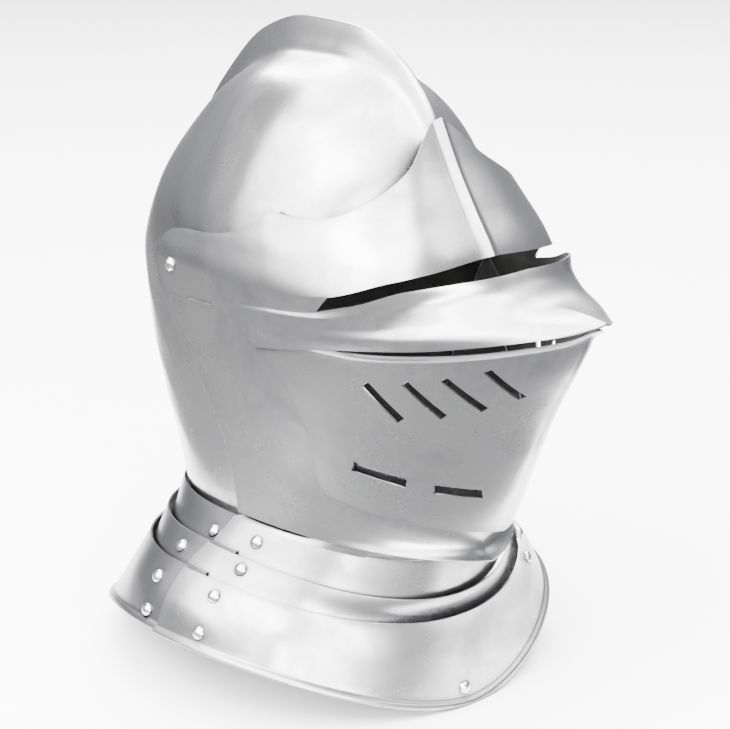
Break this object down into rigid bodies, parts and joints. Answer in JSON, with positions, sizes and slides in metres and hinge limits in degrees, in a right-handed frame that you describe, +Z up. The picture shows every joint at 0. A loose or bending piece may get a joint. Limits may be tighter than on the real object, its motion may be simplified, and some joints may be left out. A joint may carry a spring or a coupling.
{
  "type": "close helmet",
  "caption": "Steel close helmet with a tall comb, hinged visor, ventail and bevor, and a flared neck guard of riveted lames.",
  "frame": {"origin": "centre of the helmet's footprint, on the surface that it rests on", "axes": "+Z up, the face looks along -Y, the wearer's left side is towards +X"},
  "size_m": [0.266, 0.3732, 0.3818],
  "materials": {
    "bright_steel": "satin polished sheet steel, fine brushed scratches",
    "grey_steel": "satin polished sheet steel, slightly darker"
  },
  "bodies": {
    "skull_body": {"skull": "bright_steel", "rear_lame_1": "grey_steel", "rear_lame_2": "grey_steel", "rear_lame_3": "grey_steel", "rear_lame_1_rivet_left": "bright_steel", "rear_lame_1_rivet_right": "bright_steel", "rear_lame_2_rivet_left": "bright_steel", "rear_lame_2_rivet_right": "bright_steel", "rear_lame_3_upper_rivet_left": "bright_steel", "rear_lame_3_upper_rivet_right": "bright_steel", "rear_lame_3_lower_rivet_left": "bright_steel", "rear_lame_3_lower_rivet_right": "bright_steel", "pivot_rivet_left": "bright_steel", "pivot_rivet_right": "bright_steel"},
    "bevor_body": {"bevor": "bright_steel", "front_lame_1": "bright_steel", "front_lame_2": "bright_steel", "front_lame_3": "bright_steel", "front_lame_1_rivet_left": "bright_steel", "front_lame_1_rivet_right": "bright_steel", "front_lame_2_rivet_left": "bright_steel", "front_lame_2_rivet_right": "bright_steel", "front_lame_3_upper_rivet_left": "bright_steel", "front_lame_3_upper_rivet_right": "bright_steel", "front_lame_3_lower_rivet_left": "bright_steel", "front_lame_3_lower_rivet_right": "bright_steel", "front_lame_3_point_rivet": "bright_steel", "front_lame_3_extra_rivet_a_left": "bright_steel", "front_lame_3_extra_rivet_b_left": "bright_steel"},
    "ventail_body": {"ventail": "bright_steel"},
    "visor_body": {"visor": "bright_steel"}
  },
  "joints": [
    {"name": "bevor_hinge", "type": "hinge", "parent": "skull_body", "child": "bevor_body", "pos_m": [0, 0.0604, 0.2483], "axis": [-1, 0, 0], "range_deg": [0, 45]},
    {"name": "ventail_hinge", "type": "hinge", "parent": "bevor_body", "child": "ventail_body", "pos_m": [0, 0.0604, 0.2483], "axis": [-1, 0, 0], "range_deg": [0, 45]},
    {"name": "visor_hinge", "type": "hinge", "parent": "ventail_body", "child": "visor_body", "pos_m": [0, 0.0604, 0.2483], "axis": [-1, 0, 0], "range_deg": [0, 60]}
  ]
}
